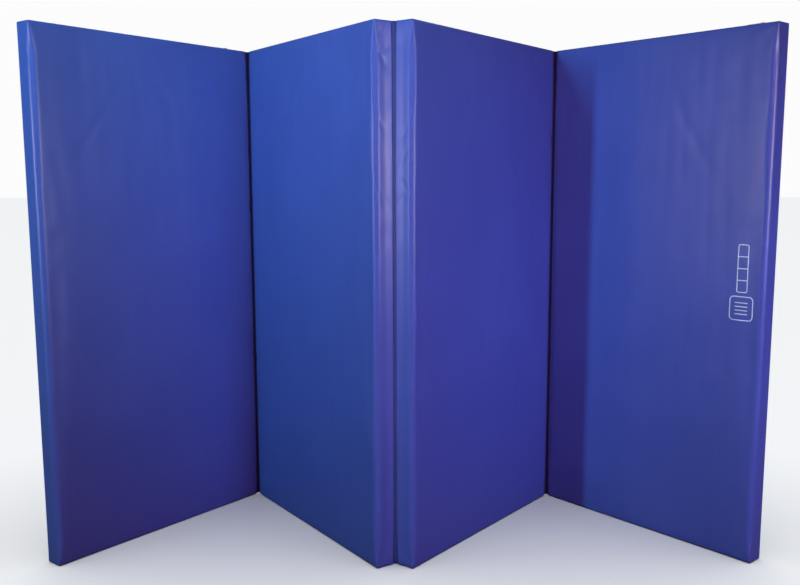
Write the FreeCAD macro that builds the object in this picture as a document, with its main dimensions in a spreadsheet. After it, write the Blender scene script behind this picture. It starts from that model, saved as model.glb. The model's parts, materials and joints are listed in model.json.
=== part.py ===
"""Folding gym mat: four hinged foam panels in sewn covers of coated fabric, standing in a zigzag.

Frame: millimetres, +Z up. The origin is on the floor, under the middle of the standing mat's footprint.
X runs along the row of panels. The two outer ends and the middle ridge point to -Y.

Every panel is drawn in a frame of its own: x along its width, y from its front face to its back face,
z up. The hinge lines lie on the front face at folds 1 and 3, and on the back face at fold 2.

Each panel's cover is two sheets. The front sheet covers the front face and turns over one vertical edge
down that side wall. The back sheet does the same from the other side. Short end walls close the cover at
the top and bottom, and the top one has a zip, through which the foam core goes in.
"""
import FreeCAD, Part
import os
import re
from math import cos, radians, sin

import Sketcher
from FreeCAD import Placement, Rotation, Vector

PARTS_FOLDER = "parts"
SHEET = "Sizes"

# Driving dimensions, in millimetres and degrees.
SIZES = {
    # whole mat
    "panel_pitch": 610.0,        # fold line to fold line
    "mat_height": 1220.0,        # the open mat's short side, which stands upright
    "panel_depth": 50.0,         # thickness of one panel
    "fold_gap": 4.0,             # between two panels' side walls when the mat lies flat
    "axis_offset": 0.3,          # fold axis proud of the face that it hinges on
    "edge_radius": 12.0,         # where a sheet turns over a vertical edge
    "skin": 1.0,                 # thickness of the coated fabric
    # zigzag at rest
    "first_heading": 50.0,       # first panel's width direction, from X
    "fold_1_angle": 74.0,        # between the two faces that the fold brings together
    "fold_2_angle": 74.0,
    "fold_3_angle": 80.0,
    # foam
    "foam_clearance": 0.2,       # all round, inside the cover
    "foam_headroom": 5.0,        # under the top end wall, for the slider
    # zip, along the middle of the top end wall
    "slot_length": 530.0,
    "slot_width": 12.0,
    "tape_width": 14.0,
    "tape_thickness": 0.6,
    "tape_overhang": 12.0,       # past each end of the slot
    "chain_width": 2.3,          # one half
    "chain_height": 2.4,
    "chain_gap": 1.8,            # between the halves, for the slider's neck
    "chain_margin": 6.0,         # slot's end to the chain's end
    "stop_length": 3.0,
    "zip_clearance": 0.3,
    # zip slider
    "slider_length": 11.0,
    "slider_width": 10.0,
    "slider_end_gap": 0.5,       # to the stop, when the zip is closed
    "wing_thickness": 1.2,
    "flange_thickness": 0.8,
    "neck_length": 3.5,
    "neck_width": 1.2,
    "bridge_length": 8.0,
    "bridge_width": 1.6,
    "bridge_bar": 1.0,
    # zip pull tab
    "pin_radius": 0.8,
    "pull_reach": 34.0,          # pin axis to the tab's far end
    "pull_width": 7.0,
    "pull_thickness": 1.2,
    "pull_eye": 5.6,             # pin axis to the plate's near end
    "arm_width": 1.0,
    "hole_radius": 1.6,
    "hole_inset": 4.5,           # from the tab's far end
}

# Formulas that several sub-parts share.
SLAB_WIDTH = "(panel_pitch - fold_gap)"
TAPE_LENGTH = "(slot_length + 2 * tape_overhang)"
CHAIN_LENGTH = "(slot_length - 2 * chain_margin)"
CHAIN_EDGE = "(chain_gap / 2 + chain_width)"
WING_FACE = "(chain_height / 2 + zip_clearance)"
WING_TOP = "(chain_height / 2 + zip_clearance + wing_thickness)"
PIN_HEIGHT = "(chain_height / 2 + 2 * zip_clearance + wing_thickness + pin_radius)"
BRIDGE_TOP = "(chain_height / 2 + 3 * zip_clearance + wing_thickness + 2 * pin_radius)"

document = FreeCAD.newDocument("folding_gym_mat")
exported = []


# ---------------------------------------------------------------- the sheet and formulas over it

def make_sheet():
    """The spreadsheet that drives every sub-part."""
    made = document.addObject("Spreadsheet::Sheet", SHEET)
    for row, (alias, number) in enumerate(SIZES.items(), start=1):
        made.set("A%d" % row, alias)
        made.set("B%d" % row, str(number))
        made.setAlias("B%d" % row, alias)
    document.recompute()
    return made


sheet = make_sheet()


def bound(formula):
    """The formula with each alias written as a reference to the sheet."""
    return re.sub(r"[a-z]\w*", lambda word: SHEET + "." + word[0] if word[0] in SIZES else word[0], formula)


def value(formula):
    """The number that a formula gives."""
    return float(sheet.evalExpression(bound(formula)))


def bind(feature, **formulas):
    """Bind a feature's properties to formulas."""
    for name, formula in formulas.items():
        feature.setExpression(name, bound(formula))


# ---------------------------------------------------------------- drawing helpers

def polygon_sketch(body, corners):
    """A closed polygon on the body's XY plane, with each corner's coordinates bound to formulas."""
    sketch = body.newObject("Sketcher::SketchObject", body.Name + "_outline")
    plane = next(item for item in body.Origin.OriginFeatures if item.Role == "XY_Plane")
    sketch.AttachmentSupport = [(plane, "")]
    sketch.MapMode = "FlatFace"
    return add_polygon(sketch, corners)


def add_polygon(sketch, corners):
    """Add one closed polygon to a sketch."""
    first = sketch.GeometryCount
    points = [Vector(value(x), value(y), 0) for x, y in corners]
    count = len(points)
    for index in range(count):
        sketch.addGeometry(Part.LineSegment(points[index], points[(index + 1) % count]), False)
    for index in range(count):
        sketch.addConstraint(Sketcher.Constraint("Coincident", first + index, 2, first + (index + 1) % count, 1))
    for index, (x, y) in enumerate(corners):
        pin_coordinate(sketch, first + index, "DistanceX", x, -2)
        pin_coordinate(sketch, first + index, "DistanceY", y, -1)
    return sketch


def pin_coordinate(sketch, line, direction, formula, zero_axis):
    """Hold one coordinate of a line's first point: on a sketch axis where it is 0, else at the formula."""
    if formula == "0":
        sketch.addConstraint(Sketcher.Constraint("PointOnObject", line, 1, zero_axis))
        return
    index = sketch.addConstraint(Sketcher.Constraint(direction, -1, 1, line, 1, value(formula)))
    sketch.setExpression("Constraints[%d]" % index, bound(formula))


def pad(label, corners, length, holes=()):
    """A body padded from one outline, with the holes' outlines left open."""
    body = document.addObject("PartDesign::Body", label)
    sketch = polygon_sketch(body, corners)
    for hole in holes:
        add_polygon(sketch, hole)
    feature = body.newObject("PartDesign::Pad", label + "_pad")
    feature.Profile = sketch
    bind(feature, Length=length)
    document.recompute()
    return body


def round_vertical_edges(body, places, radius):
    """Fillet the body's vertical edges that stand at the given (x, y) formulas."""
    tip = body.Tip
    spots = [Vector(value(x), value(y), 0) for x, y in places]
    names = []
    for number, edge in enumerate(tip.Shape.Edges, start=1):
        ends = [Vector(vertex.X, vertex.Y, 0) for vertex in edge.Vertexes]
        if len(ends) == 2 and any(all(end.isEqual(spot, 1e-6) for end in ends) for spot in spots):
            names.append("Edge%d" % number)
    fillet = body.newObject("PartDesign::Fillet", body.Name + "_edge_%d" % len(body.Group))
    fillet.Base = (tip, names)
    bind(fillet, Radius=radius)
    document.recompute()


def box(name, low, high):
    """A box between two corners given as formulas."""
    made = document.addObject("Part::Box", name)
    sizes = ["(%s) - (%s)" % (top, bottom) for bottom, top in zip(low, high)]
    bind(made, Length=sizes[0], Width=sizes[1], Height=sizes[2])
    for axis, bottom in zip("xyz", low):
        made.setExpression("Placement.Base." + axis, bound(bottom))
    return made


def cylinder(name, radius, length, rotation, start):
    """A cylinder that starts at a point given as formulas."""
    made = document.addObject("Part::Cylinder", name)
    bind(made, Radius=radius, Height=length)
    made.Placement = Placement(Vector(), rotation)
    for axis, formula in zip("xyz", start):
        made.setExpression("Placement.Base." + axis, bound(formula))
    return made


def finish_node(feature, label, placement):
    """Name a sub-part, put it in its place and list it for export."""
    feature.Label = label
    feature.Placement = placement
    exported.append(feature)


# ---------------------------------------------------------------- where the panels stand

UPRIGHT = Vector(0, 0, 1)


def moved(x="0", y="0", z="0"):
    return Placement(Vector(value(x), value(y), value(z)), Rotation())


def half_turn(axis, x="0", y="0", z="0"):
    return Placement(Vector(value(x), value(y), value(z)), Rotation(Vector(*axis), 180))


def direction(heading):
    """The unit vector at an angle from X, in the floor plane."""
    return Vector(cos(radians(heading)), sin(radians(heading)), 0)


class Panel:
    """One panel's number, heading and placement. Even panels are mirror images of odd ones."""

    def __init__(self, number, heading):
        self.number = number
        self.heading = heading
        self.mirrored = number % 2 == 0
        self.placement = Placement(Vector(), Rotation(UPRIGHT, heading))

    def hinge_point(self, right, back):
        """The fold axis beside this panel, at its right or left end, on its back or front face."""
        x = value(SLAB_WIDTH + " + fold_gap / 2") if right else value("-fold_gap / 2")
        y = value("panel_depth + axis_offset") if back else value("-axis_offset")
        return self.placement.multVec(Vector(x, y, 0))

    def footprint(self):
        """Centres and radii of the four corners of the panel's plan outline."""
        width = value(SLAB_WIDTH)
        depth = value("panel_depth")
        radius = value("edge_radius")
        left_front_round = not self.mirrored
        for right in (False, True):
            for back in (False, True):
                corner_radius = radius if (right == back) == left_front_round else 0.0
                x = width - corner_radius if right else corner_radius
                y = depth - corner_radius if back else corner_radius
                yield self.placement.multVec(Vector(x, y, 0)), corner_radius

    def shift(self, offset):
        self.placement.Base = self.placement.Base + offset


def stand_panels():
    """The four panels in their zigzag, centred on the origin. Fold 2 hinges on the back face."""
    heading = value("first_heading")
    panels = [Panel(1, heading)]
    for number in (2, 3, 4):
        back = number == 3
        turn = 180 - value("fold_%d_angle" % (number - 1))
        heading += turn if back else -turn
        panel = Panel(number, heading)
        panel.shift(panels[-1].hinge_point(True, back) - panel.hinge_point(False, back))
        panels.append(panel)
    corners = [corner for panel in panels for corner in panel.footprint()]
    middle = [
        (min(centre[axis] - radius for centre, radius in corners)
         + max(centre[axis] + radius for centre, radius in corners)) / 2
        for axis in (0, 1)
    ]
    for panel in panels:
        panel.shift(Vector(-middle[0], -middle[1], 0))
    return panels


# ---------------------------------------------------------------- covers and foam

def make_bent_sheet(label, placement):
    """A sheet that covers one face and turns over the edge at its frame's origin, down the side wall."""
    wall_end = "panel_depth - skin"
    corners = [("0", "0"), (SLAB_WIDTH, "0"), (SLAB_WIDTH, "skin"),
               ("skin", "skin"), ("skin", wall_end), ("0", wall_end)]
    body = pad(label, corners, "mat_height")
    round_vertical_edges(body, [("0", "0")], "edge_radius")
    round_vertical_edges(body, [("skin", "skin")], "edge_radius - skin")
    finish_node(body, label, placement)


def make_slab(label, panel, inset, height, bottom, holes=()):
    """A slab inside the sheets, with two round corners where the sheets turn."""
    right = SLAB_WIDTH + " - (%s)" % inset
    back = "panel_depth - (%s)" % inset
    corners = [(inset, inset), (right, inset), (right, back), (inset, back)]
    body = pad(label, corners, height, holes)
    round_vertical_edges(body, [corners[0], corners[2]], "edge_radius - (%s)" % inset)
    local = moved(z=bottom)
    if panel.mirrored:
        local = half_turn((0, 1, 0), SLAB_WIDTH, "0", "(%s) + (%s)" % (bottom, height))
    finish_node(body, label, panel.placement * local)


def make_cover(panel):
    """The two sheets and the two end walls."""
    if panel.mirrored:
        front = half_turn((0, 1, 0), SLAB_WIDTH, "0", "mat_height")
        back = half_turn((1, 0, 0), "0", "panel_depth", "mat_height")
    else:
        front = moved()
        back = half_turn((0, 0, 1), SLAB_WIDTH, "panel_depth")
    make_bent_sheet("front_sheet_%d" % panel.number, panel.placement * front)
    make_bent_sheet("back_sheet_%d" % panel.number, panel.placement * back)
    make_slab("bottom_end_wall_%d" % panel.number, panel, "skin", "skin", "0")
    make_slab("top_end_wall_%d" % panel.number, panel, "skin", "skin", "mat_height - skin", [slot_outline()])


def slot_outline():
    """The zip's opening in the top end wall."""
    near_x = "(%s - slot_length) / 2" % SLAB_WIDTH
    far_x = "(%s + slot_length) / 2" % SLAB_WIDTH
    near_y = "(panel_depth - slot_width) / 2"
    far_y = "(panel_depth + slot_width) / 2"
    return [(near_x, near_y), (far_x, near_y), (far_x, far_y), (near_x, far_y)]


def make_foam(panel):
    """The foam core, which stops short of the zip."""
    inset = "skin + foam_clearance"
    height = "mat_height - 2 * skin - foam_clearance - foam_headroom"
    make_slab("foam_core_%d" % panel.number, panel, inset, height, inset)


# ---------------------------------------------------------------- zip

def zip_frame(panel):
    """The frame of a panel's zip: its chain's centre, x along the chain, z up."""
    height = "mat_height - skin - tape_thickness / 2"
    return panel.placement * moved(SLAB_WIDTH + " / 2", "panel_depth / 2", height)


def strip(label, placement, length, near, far, height):
    """A straight strip centred on the chain's length and height, from near to far across it."""
    low = ("-%s / 2" % length, near, "-%s / 2" % height)
    high = ("%s / 2" % length, far, "%s / 2" % height)
    finish_strip = document.addObject("Part::Compound", label)
    finish_strip.Links = [box(label + "_strip", low, high)]
    finish_node(finish_strip, label, placement)


def make_zip_halves(panel):
    """Front and back halves of the tape and of the chain."""
    frame = zip_frame(panel)
    tape_edge = "(chain_gap / 2 + chain_width + tape_width)"
    for side, back in (("front", False), ("back", True)):
        placement = frame if back else frame * half_turn((0, 0, 1))
        strip("zip_tape_%s_%d" % (side, panel.number), placement,
              TAPE_LENGTH, CHAIN_EDGE, tape_edge, "tape_thickness")
        strip("zip_chain_%s_%d" % (side, panel.number), placement,
              CHAIN_LENGTH, "chain_gap / 2", CHAIN_EDGE, "chain_height")


def make_zip_stops(panel):
    """The clamps that close the chain's two ends."""
    label = "zip_stops_%d" % panel.number
    near = "%s / 2" % CHAIN_LENGTH
    far = near + " + stop_length"
    half_height = "chain_height / 2"
    ends = (("open", "-(%s)" % far, "-(%s)" % near), ("closed", near, far))
    stops = document.addObject("Part::Compound", label)
    stops.Links = [
        box(label + "_" + end, (low, "-" + CHAIN_EDGE, "-" + half_height), (high, CHAIN_EDGE, half_height))
        for end, low, high in ends
    ]
    finish_node(stops, label, zip_frame(panel))


def slider_frame(panel):
    """The slider's frame when the zip is closed: on the chain's centre, at the slider's middle."""
    return zip_frame(panel) * moved("%s / 2 - slider_end_gap - slider_length / 2" % CHAIN_LENGTH)


def make_zip_slider(panel):
    """Two wings joined by a neck between the chain halves, side flanges, and a bridge for the tab."""
    label = "zip_slider_%d" % panel.number
    half_length = "slider_length / 2"
    half_width = "slider_width / 2"
    half_bridge = "bridge_width / 2"
    flange_inner = "slider_width / 2 - flange_thickness"
    flange_end = "tape_thickness / 2 + zip_clearance"
    post_start = "bridge_length / 2 - bridge_bar"
    pieces = []
    for name, low, high in (
        ("upper", WING_FACE, WING_TOP),
        ("lower", "-" + WING_TOP, "-" + WING_FACE),
    ):
        pieces.append(box("%s_%s_wing" % (label, name), ("-" + half_length, "-" + half_width, low),
                          (half_length, half_width, high)))
    for name, low, high in (
        ("upper", flange_end, WING_FACE),
        ("lower", "-" + WING_FACE, "-(%s)" % flange_end),
    ):
        for side, near, far in (
            ("front", "-" + half_width, "-(%s)" % flange_inner),
            ("back", flange_inner, half_width),
        ):
            pieces.append(box("%s_%s_%s_flange" % (label, name, side), ("-" + half_length, near, low),
                              (half_length, far, high)))
    pieces.append(box(label + "_neck", (half_length + " - neck_length", "-neck_width / 2", "-" + WING_FACE),
                      (half_length, "neck_width / 2", WING_FACE)))
    for name, low, high in (
        ("near_post", "-bridge_length / 2", "-(%s)" % post_start),
        ("far_post", post_start, "bridge_length / 2"),
    ):
        pieces.append(box("%s_%s" % (label, name), (low, "-" + half_bridge, WING_TOP),
                          (high, half_bridge, BRIDGE_TOP)))
    pieces.append(box(label + "_bridge", ("-bridge_length / 2", "-" + half_bridge, BRIDGE_TOP),
                      ("bridge_length / 2", half_bridge, BRIDGE_TOP + " + bridge_bar")))
    slider = document.addObject("Part::MultiFuse", label)
    slider.Shapes = pieces
    finish_node(slider, label, slider_frame(panel))


def make_zip_pull(panel):
    """The pull tab: a pin under the slider's bridge, two arms beside it and a plate with a hole."""
    label = "zip_pull_%d" % panel.number
    half_width = "pull_width / 2"
    half_thickness = "pull_thickness / 2"
    along_y = Rotation(Vector(1, 0, 0), -90)
    pieces = [cylinder(label + "_pin", "pin_radius", "pull_width", along_y, ("0", "-" + half_width, "0"))]
    for side, near, far in (
        ("front", "-" + half_width, "-%s + arm_width" % half_width),
        ("back", half_width + " - arm_width", half_width),
    ):
        pieces.append(box("%s_%s_arm" % (label, side), ("-pull_eye", near, "-" + half_thickness),
                          ("0", far, half_thickness)))
    pieces.append(box(label + "_plate", ("-pull_reach", "-" + half_width, "-" + half_thickness),
                      ("-pull_eye", half_width, half_thickness)))
    blank = document.addObject("Part::MultiFuse", label + "_blank")
    blank.Shapes = pieces
    hole = cylinder(label + "_hole", "hole_radius", "2 * pull_thickness", Rotation(),
                    ("hole_inset - pull_reach", "0", "-pull_thickness"))
    pull = document.addObject("Part::Cut", label)
    pull.Base = blank
    pull.Tool = hole
    finish_node(pull, label, slider_frame(panel) * moved(z=PIN_HEIGHT))


# ---------------------------------------------------------------- hinge webs

def make_hinge_web(number, left, right):
    """The cloth bridge over one fold: two short legs that meet at the fold axis.

    Its frame stands on the fold axis, with x into the angle that the fold closes.
    """
    half_angle = "(fold_%d_angle / 2)" % number
    outer = "(axis_offset + skin)"

    def leg_point(out, side):
        """Where one leg meets a panel, at a distance out from the closing side."""
        x = "cos(%s) * fold_gap / 2 - sin(%s) * %s" % (half_angle, half_angle, out)
        y = "%s(sin(%s) * fold_gap / 2 + cos(%s) * %s)" % (side, half_angle, half_angle, out)
        return x, y

    corners = [
        leg_point("axis_offset", ""), leg_point(outer, ""),
        ("-%s / sin(%s)" % (outer, half_angle), "0"),
        leg_point(outer, "-"), leg_point("axis_offset", "-"),
        ("-axis_offset / sin(%s)" % half_angle, "0"),
    ]
    label = "hinge_web_%d" % number
    web = pad(label, corners, "mat_height")
    inward = direction(right.heading) - direction(left.heading)
    point = left.hinge_point(True, number == 2)
    finish_node(web, label, Placement(point, Rotation(Vector(1, 0, 0), inward)))


# ---------------------------------------------------------------- build, check and write

def check_features():
    """Stop at the first feature that failed and at the first sub-part without a sound shape."""
    document.recompute()
    for feature in document.Objects:
        if "Invalid" in feature.State or "Error" in feature.State:
            raise RuntimeError("%s failed: %s" % (feature.Label, feature.State))
    for feature in exported:
        if feature.Shape.isNull() or not feature.Shape.isValid() or feature.Shape.Volume <= 0:
            raise RuntimeError("%s has no sound shape" % feature.Label)


def write_parts():
    os.makedirs(PARTS_FOLDER, exist_ok=True)
    for feature in exported:
        feature.Shape.exportStep(os.path.join(PARTS_FOLDER, feature.Label + ".step"))


panels = stand_panels()
for panel in panels:
    make_cover(panel)
    make_foam(panel)
    make_zip_halves(panel)
    make_zip_stops(panel)
    make_zip_slider(panel)
    make_zip_pull(panel)
for number, (left, right) in enumerate(zip(panels, panels[1:]), start=1):
    make_hinge_web(number, left, right)
check_features()
write_parts()
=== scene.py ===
"""The looks of a four-panel folding gym mat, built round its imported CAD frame. Metres throughout.

Each panel gets one cover: a grid mesh sewn along its edges, puffed by a cloth simulation against its
foam, then creased and puckered by folds from a seeded generator. Hinge cloths bend across the folds,
every panel has a zip and its stitching, and the last panel bears a printed sign."""
import json
import math

import bmesh
import bpy
import numpy as np
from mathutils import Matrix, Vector


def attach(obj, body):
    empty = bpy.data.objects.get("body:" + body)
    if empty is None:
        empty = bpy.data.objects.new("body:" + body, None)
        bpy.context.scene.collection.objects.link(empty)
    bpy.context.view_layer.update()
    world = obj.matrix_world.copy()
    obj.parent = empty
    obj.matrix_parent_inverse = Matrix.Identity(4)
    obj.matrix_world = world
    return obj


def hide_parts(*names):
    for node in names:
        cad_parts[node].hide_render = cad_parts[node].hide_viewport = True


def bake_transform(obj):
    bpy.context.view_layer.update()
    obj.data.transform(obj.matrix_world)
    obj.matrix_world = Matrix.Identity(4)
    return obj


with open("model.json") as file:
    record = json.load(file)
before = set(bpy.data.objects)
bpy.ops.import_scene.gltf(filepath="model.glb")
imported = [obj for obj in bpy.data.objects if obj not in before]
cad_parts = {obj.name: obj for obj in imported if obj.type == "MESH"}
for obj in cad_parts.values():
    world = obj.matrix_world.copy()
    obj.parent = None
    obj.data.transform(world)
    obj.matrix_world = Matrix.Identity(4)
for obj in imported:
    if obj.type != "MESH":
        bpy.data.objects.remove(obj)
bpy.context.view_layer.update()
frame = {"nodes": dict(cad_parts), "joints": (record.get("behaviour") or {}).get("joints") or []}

MM = 0.001
PANEL_COUNT = 4
COVER_PARTS = ("front_sheet", "back_sheet", "bottom_end_wall", "top_end_wall", "foam_core")

# The cover's shape
FACE_INSET = 1.5 * MM         # from the slab's faces to the slack cover
TOP_INSET = 0.3 * MM
BOTTOM_INSET = 0.0
BEND_RADIUS = 16 * MM         # where one sheet turns round the foam
SEWN_RADIUS = 5 * MM          # where two sheets meet
TIP_RADIUS = 5.5 * MM         # a bend where the end seam pinches it
TIP_LENGTH = 70 * MM          # over which a bend opens from its pinched tip
SEAM_NOTCH = 1.1 * MM
END_ROLL = 7 * MM             # the end walls' rounding towards their seams
HINGE_RADIUS = 2.6 * MM
HINGE_TIP_GAIN = 4.5 * MM     # more rounding where a hinge edge meets an end seam
HINGE_TIP_LENGTH = 90 * MM
HINGE_RECESS = 1.2 * MM
HINGE_REACH = 14 * MM         # of the recess, on the face
HINGE_SWELL = 2.3 * MM        # how far a hinge edge leans out to its neighbour
FACE_SWELL_REACH = 12 * MM
WALL_SWELL_REACH = 24 * MM

# The grids
CLOSE_LINES = np.array([0, 0.8, 1.9, 3.2, 5, 7, 9.3, 12]) * MM
ACROSS_ENDS = np.append(CLOSE_LINES, np.array([15.5, 20, 26, 32, 38]) * MM)
DEPTH_ENDS = np.append(CLOSE_LINES, np.array([15.5, 19]) * MM)
UPRIGHT_ENDS = np.append(CLOSE_LINES, np.array([15.5, 20, 26]) * MM)
FINE_STEP = 6.5 * MM
DEPTH_STEP = 3 * MM
COARSE_ENDS = np.array([0, 5, 12]) * MM
COARSE_STEP = 15 * MM
COARSE_DEPTH_STEP = 6.5 * MM

# The cloth simulation
PRESSURE = 4.0
SLACK = 0.012
FRAMES = 20
PUFF_LIMIT = 0.9 * MM
SINK_LIMIT = 1.2 * MM
SMOOTHING_PASSES = 6
FOLD_LIMIT = 0.95 * FACE_INSET        # the most that all folds together stand out

# The folds: their heights, lengths and reaches
SWELL_HEIGHT = 0.65 * MM
FINE_SWELL_HEIGHT = 0.12 * MM
HANGING_HEIGHT = 0.22 * MM
HANGING_SWAY = 12 * MM
SLANTING_FOLDS = 4            # on each face
PUCKER_HEIGHT = 0.42 * MM
PUCKER_LENGTH = 21 * MM
PUCKER_REACH = 16 * MM
PULL_REACH = 48 * MM
WALL_CREASES = 9              # on each side wall

# The zip's opening in the top wall
SLOT_LENGTH = 530 * MM
SLOT_WIDTH = 12 * MM
HEM_DEPTH = 1.1 * MM
HEM_GATHER = 0.25 * MM        # the height of the small gathers beside the top wall's seams
HEM_GATHER_LENGTH = 24 * MM

# The hinge webs
WEB_THICKNESS = 0.9 * MM
WEB_MARGIN = 1.5 * MM         # from the mat's top and bottom
WEB_ROOT = (5.5 * MM, 3.6 * MM)       # inside the cover, from the slab's edge and face
WEB_MOUTH = (2.4 * MM, 2.9 * MM)
WEB_HANDLE = 2.6 * MM
WEB_CREASE_FRONT = 5.0 * MM   # behind the fold's axis
WEB_CREASE_BACK = 1.2 * MM
WEB_CREASE_WIDTH = 0.8 * MM
WEB_CREASE_REACH = 4 * MM
WEB_WOBBLE = 0.35 * MM
WEB_STATIONS = 150
WEB_POINTS = 7
RIDGE_FOLD = 2                # the fold that opens towards the back

# The thread
STITCH_LENGTH = 3.1 * MM
STITCH_WIDTH = 0.75 * MM
STITCH_HEIGHT = 0.34 * MM
STITCH_SPACING = 4.1 * MM
STITCH_ROW = 7.5 * MM         # from a hinge edge
STITCH_END = 20 * MM          # from the mat's top and bottom
ZIP_STITCH_MARGIN = 2.6 * MM

# The zips
TAPE_STATIONS = 90
TAPE_ACROSS = np.array([-0.17, -0.12, -0.03, 0.05, 0.12, 0.2, 0.9, 1])       # from its coil to its sewn edge
TAPE_LIFT = np.array([-1.5, -1.6, -1.3, -0.1, 0.35, 0.05, 0, -0.1]) * MM
COIL_PITCH = 1.7 * MM
COIL_WIRE = 0.36 * MM
COIL_STEPS = 9
COIL_SIDES = 5
COIL_SQUARENESS = 0.7         # below 1, a turn's top and bottom are flatter than a circle's
COIL_CLEARANCE = 0.7 * MM     # from the zip's middle line, for the slider's neck

# The printed sign
MARK_X = 523 * MM
MARK_Z = 566 * MM
MARK_WIDTH = 54 * MM
MARK_FLAT_LEFT = 15 * MM
MARK_FLAT_FOOT = 64 * MM
MARK_FLAT_WIDTH = 24 * MM
MARK_FLAT_HEIGHT = 108 * MM
MARK_STROKE = 2.4 * MM
MARK_STEP = 2.5 * MM
MARK_RAISE = 0.12 * MM
MARK_ROUNDING = 0.16          # a frame's corner radius over its shorter side
MARK_CORNER_STEPS = 6
MARK_BAR_FOOT = 0.26          # the bars' places over the lower frame's width
MARK_BAR_SPACING = 0.16
MARK_BAR_MARGIN = 0.22

# The camera, fitted to the corners of the photographed panels
CAMERA_PLACE = (-0.0453, -2.1718, 0.8857)
CAMERA_DOWN = 7.86            # degrees below level
CAMERA_TURN = -2.06           # degrees about the vertical
CAMERA_LENS = 39.49
CAMERA_SHIFT = (-0.0203, 0.0091)

FLOOR_REACH = 40


# ---------------- the frame

def joint(name):
    return next(j for j in frame["joints"] if j["name"] == name)


def node_points(node):
    mesh = frame["nodes"][node].data
    flat = np.zeros(3 * len(mesh.vertices))
    mesh.vertices.foreach_get("co", flat)
    return flat.reshape(-1, 3)


class Panel:
    """One leaf of the mat: its place, its size and what each of its upright edges is."""

    def __init__(self, number):
        self.number = number
        self.body = f"panel_{number}"
        self.nodes = [f"{part}_{number}" for part in COVER_PARTS]
        along = -np.array(joint(f"zip_slide_{number}")["axis"])
        self.axes = np.array([along, [-along[1], along[0], 0], [0, 0, 1]])
        local = np.vstack([node_points(node) for node in self.nodes]) @ self.axes.T
        self.origin = local.min(0) @ self.axes
        self.width, self.depth, self.height = local.max(0) - local.min(0)
        self.corners = self.corner_kinds()
        self.random = np.random.default_rng(100 + number)

    def corner_kinds(self):
        """Each upright edge's kind, from the front left one round by the right: two bends, two sewn."""
        left, right = (3, 1) if self.number % 2 else (0, 2)
        kinds = ["bend"] * 4
        kinds[left] = "seam" if self.number == 1 else "hinge"
        kinds[right] = "seam" if self.number == PANEL_COUNT else "hinge"
        return kinds

    def place(self, points):
        """Points in the panel's own axes, in the row frame."""
        return self.origin + np.asarray(points) @ self.axes


# ---------------- shaping helpers

def smooth(t):
    """An eased step from 0 to 1."""
    t = np.clip(t, 0, 1)
    return t * t * (3 - 2 * t)


def eased(height, highest):
    """Heights that level off before the highest one, and keep their depths."""
    return highest * np.tanh(np.maximum(height, 0) / highest) + np.minimum(height, 0)


def grid_lines(length, ends, step):
    """Grid lines along one direction: the given ones near both ends, and even steps between."""
    count = max(1, round((length - 2 * ends[-1]) / step))
    middle = np.linspace(ends[-1], length - ends[-1], count + 1)[1:-1]
    return np.concatenate([ends, middle, (length - ends)[::-1]])


def ripples(random, count, shortest, longest):
    """A smooth uneven surface of about unit height, as a function of two distances."""
    lengths = random.uniform(shortest, longest, count)
    turns = random.uniform(0, math.tau, count)
    phases = random.uniform(0, math.tau, count)

    def height(a, b):
        total = 0
        for length, turn, phase in zip(lengths, turns, phases):
            total = total + np.sin((a * math.cos(turn) + b * math.sin(turn)) * math.tau / length + phase)
        return total / math.sqrt(count)
    return height


def crease(a, b, start, end, width, depth):
    """A soft valley from start to end, fading at both ends, with a low rise on each side."""
    start, end = np.array(start), np.array(end)
    run = end - start
    length = np.linalg.norm(run)
    run = run / length
    t = ((a - start[0]) * run[0] + (b - start[1]) * run[1]) / length
    off = ((a - start[0]) * run[1] - (b - start[1]) * run[0]) / width
    fade = smooth(1 - np.abs(2 * t - 1)) * (np.abs(2 * t - 1) < 1)
    return -depth * (1 - off ** 2) * np.exp(-off ** 2) * fade


# ---------------- one cover's grid

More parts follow.
